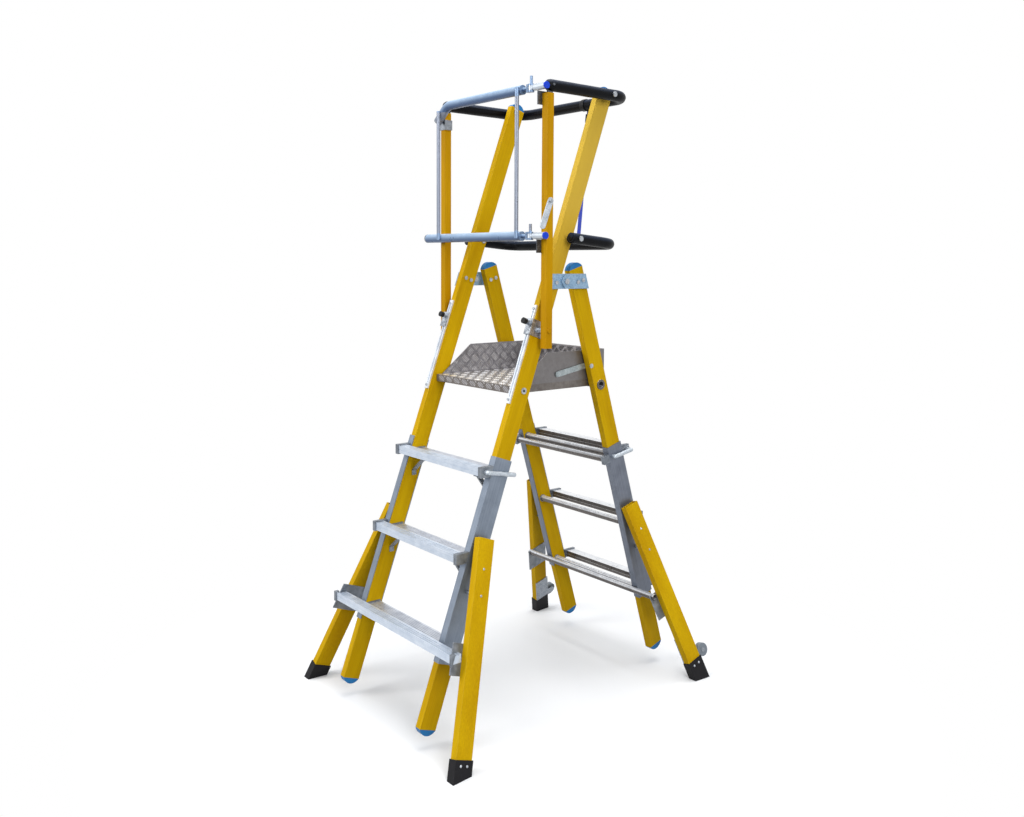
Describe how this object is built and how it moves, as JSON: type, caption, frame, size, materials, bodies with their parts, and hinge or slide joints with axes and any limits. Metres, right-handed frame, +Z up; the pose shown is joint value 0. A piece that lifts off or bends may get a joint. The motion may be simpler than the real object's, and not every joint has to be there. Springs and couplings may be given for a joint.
{
  "type": "platform step ladder",
  "caption": "Telescopic platform step ladder with flared legs, folding rear frame and deck, and a folding padded guard rail with a gate.",
  "frame": {"origin": "on the floor, at the centre of the footprint's bounding box", "axes": "+X to the climber's right, +Y from the climbing side to the rear frame, +Z up"},
  "size_m": [0.9356, 1.1874, 2.1311],
  "materials": {
    "grp_yellow": "pultruded glass-fibre section, satin gloss",
    "cap_blue": "moulded plastic",
    "plug_blue": "moulded plastic",
    "webbing_blue": "woven webbing",
    "alu_mill": "extruded, mill finish",
    "alu_satin": "extruded, satin",
    "alu_gate": "drawn tube, satin",
    "tread_plate": "raised-bar tread plate",
    "steel_zinc": "zinc plated",
    "rubber_black": "moulded rubber",
    "foam_black": "foam sleeve",
    "plastic_black": "moulded plastic",
    "plastic_navy": "moulded plastic",
    "wheel_grey": "moulded wheel"
  },
  "bodies": {
    "front_frame": {"front_stiles": "grp_yellow", "front_stile_caps": "cap_blue", "front_treads": "alu_mill", "front_tread_sockets": "alu_satin", "front_hinge_leaves": "steel_zinc", "guide_tracks": "alu_satin", "front_frame_bolts": "steel_zinc"},
    "rear_frame": {"rear_stiles": "grp_yellow", "rear_stile_caps": "cap_blue", "rear_rungs": "alu_mill", "rear_rung_collars": "alu_satin", "rear_hinge_leaves": "steel_zinc", "platform_rest_tube": "alu_mill", "rear_frame_bolts": "steel_zinc"},
    "platform": {"platform_deck": "tread_plate", "toe_boards": "tread_plate", "platform_saddles": "plastic_navy"},
    "platform_stays": {"platform_stays": "steel_zinc"},
    "front_outer_frame": {"front_channels": "alu_satin", "front_legs": "grp_yellow", "front_feet": "rubber_black", "front_outer_rungs": "alu_mill", "front_base_step": "alu_mill", "front_outer_fittings": "alu_satin", "front_outer_bolts": "steel_zinc"},
    "rear_outer_frame": {"rear_channels": "alu_satin", "rear_legs": "grp_yellow", "rear_feet": "rubber_black", "rear_outer_treads": "alu_mill", "rear_outer_rungs": "alu_mill", "rear_outer_fittings": "alu_satin", "rear_outer_bolts": "steel_zinc", "wheel_mounts": "steel_zinc"},
    "wheel_left": {"wheel_left": "wheel_grey"},
    "wheel_right": {"wheel_right": "wheel_grey"},
    "front_lock_left": {"front_lock_left": "steel_zinc"},
    "front_lock_right": {"front_lock_right": "steel_zinc"},
    "rear_lock_left": {"rear_lock_left": "steel_zinc"},
    "rear_lock_right": {"rear_lock_right": "steel_zinc"},
    "top_rail": {"top_rail_tube": "alu_satin", "top_rail_pad": "foam_black", "rail_strap": "webbing_blue", "strap_buckle": "plastic_black"},
    "mid_rail": {"mid_rail_tube": "alu_satin", "mid_rail_pad": "foam_black"},
    "post_left": {"post_left": "grp_yellow", "post_tongue_left": "steel_zinc", "catch_band": "steel_zinc"},
    "post_right": {"post_right": "grp_yellow", "post_tongue_right": "steel_zinc", "post_clamps": "steel_zinc", "gate_stubs": "alu_gate", "stub_plugs": "plug_blue"},
    "latch_lever": {"latch_lever": "steel_zinc"},
    "gate": {"gate_frame": "alu_gate", "gate_plugs": "alu_gate"},
    "slider_left": {"slider_left": "steel_zinc"},
    "slider_right": {"slider_right": "steel_zinc"},
    "plunger_left": {"plunger_left": "plastic_black"},
    "plunger_right": {"plunger_right": "plastic_black"}
  },
  "joints": [
    {"name": "rear_frame_fold", "type": "hinge", "parent": "front_frame", "child": "rear_frame", "pos_m": [0, 0.02786, 1.459], "axis": [-1, 0, 0], "range_deg": [0, 37]},
    {"name": "platform_fold", "type": "hinge", "parent": "front_frame", "child": "platform", "pos_m": [0, -0.15214, 1.099], "axis": [1, 0, 0], "range_deg": [0, 58.95]},
    {"name": "platform_stay_swing", "type": "hinge", "parent": "rear_frame", "child": "platform_stays", "pos_m": [0, 0.15686, 1.162], "axis": [-1, 0, 0], "range_deg": [0, 42.1]},
    {"name": "front_legs_extend", "type": "slide", "parent": "front_frame", "child": "front_outer_frame", "axis": [0, -0.342, -0.9397], "range_m": [0, 0.564]},
    {"name": "rear_legs_extend", "type": "slide", "parent": "rear_frame", "child": "rear_outer_frame", "axis": [0, 0.2924, -0.9563], "range_m": [0, 0.5542]},
    {"name": "top_rail_fold", "type": "hinge", "parent": "front_frame", "child": "top_rail", "pos_m": [0, 0.19872, 2.098], "axis": [1, 0, 0], "range_deg": [0, 37]},
    {"name": "mid_rail_fold", "type": "hinge", "parent": "front_frame", "child": "mid_rail", "pos_m": [0, 0.04409, 1.603], "axis": [1, 0, 0], "range_deg": [0, 37]},
    {"name": "post_left_swing", "type": "hinge", "parent": "top_rail", "child": "post_left", "pos_m": [-0.286, -0.07907, 2.098], "axis": [-1, 0, 0], "range_deg": [0, 45.17]},
    {"name": "slider_left_travel", "type": "slide", "parent": "front_frame", "child": "slider_left", "axis": [0, -0.342, -0.9397], "range_m": [0, 0.16834]},
    {"name": "plunger_left_pull", "type": "slide", "parent": "slider_left", "child": "plunger_left", "axis": [0, -0.9397, 0.342], "range_m": [0, 0.008], "stiffness_N_per_m": 600},
    {"name": "front_lock_left_pull", "type": "slide", "parent": "front_outer_frame", "child": "front_lock_left", "axis": [-1, 0, 0], "range_m": [0, 0.014], "stiffness_N_per_m": 500},
    {"name": "rear_lock_left_pull", "type": "slide", "parent": "rear_outer_frame", "child": "rear_lock_left", "axis": [-1, 0, 0], "range_m": [0, 0.014], "stiffness_N_per_m": 500},
    {"name": "wheel_left_roll", "type": "hinge", "parent": "rear_outer_frame", "child": "wheel_left", "pos_m": [-0.42519, 0.56912, 0.09224], "axis": [0.9659, 0.0757, -0.2475], "continuous": true},
    {"name": "post_right_swing", "type": "hinge", "parent": "top_rail", "child": "post_right", "pos_m": [0.286, -0.07907, 2.098], "axis": [-1, 0, 0], "range_deg": [0, 45.17]},
    {"name": "slider_right_travel", "type": "slide", "parent": "front_frame", "child": "slider_right", "axis": [0, -0.342, -0.9397], "range_m": [0, 0.16834]},
    {"name": "plunger_right_pull", "type": "slide", "parent": "slider_right", "child": "plunger_right", "axis": [0, -0.9397, 0.342], "range_m": [0, 0.008], "stiffness_N_per_m": 600},
    {"name": "front_lock_right_pull", "type": "slide", "parent": "front_outer_frame", "child": "front_lock_right", "axis": [1, 0, 0], "range_m": [0, 0.014], "stiffness_N_per_m": 500},
    {"name": "rear_lock_right_pull", "type": "slide", "parent": "rear_outer_frame", "child": "rear_lock_right", "axis": [1, 0, 0], "range_m": [0, 0.014], "stiffness_N_per_m": 500},
    {"name": "wheel_right_roll", "type": "hinge", "parent": "rear_outer_frame", "child": "wheel_right", "pos_m": [0.42519, 0.56912, 0.09224], "axis": [0.9659, -0.0757, 0.2475], "continuous": true},
    {"name": "gate_swing", "type": "hinge", "parent": "post_right", "child": "gate", "pos_m": [0.24, -0.11897, 1.85], "axis": [0, 0, 1], "range_deg": [0, 100]},
    {"name": "latch_lever_swing", "type": "hinge", "parent": "post_right", "child": "latch_lever", "pos_m": [0.3018, -0.08607, 1.724], "axis": [-1, 0, 0], "range_deg": [0, 40]}
  ],
  "couplings": [
    {"joint": "platform_fold", "follows": "rear_frame_fold", "ratio": 1.593},
    {"joint": "platform_stay_swing", "follows": "rear_frame_fold", "ratio": 1.1376},
    {"joint": "mid_rail_fold", "follows": "top_rail_fold", "ratio": 1},
    {"joint": "post_left_swing", "follows": "top_rail_fold", "ratio": 1.2205},
    {"joint": "slider_left_travel", "follows": "top_rail_fold", "m_per_rad": 0.26053},
    {"joint": "post_right_swing", "follows": "top_rail_fold", "ratio": 1.2205},
    {"joint": "slider_right_travel", "follows": "top_rail_fold", "m_per_rad": 0.26053}
  ]
}
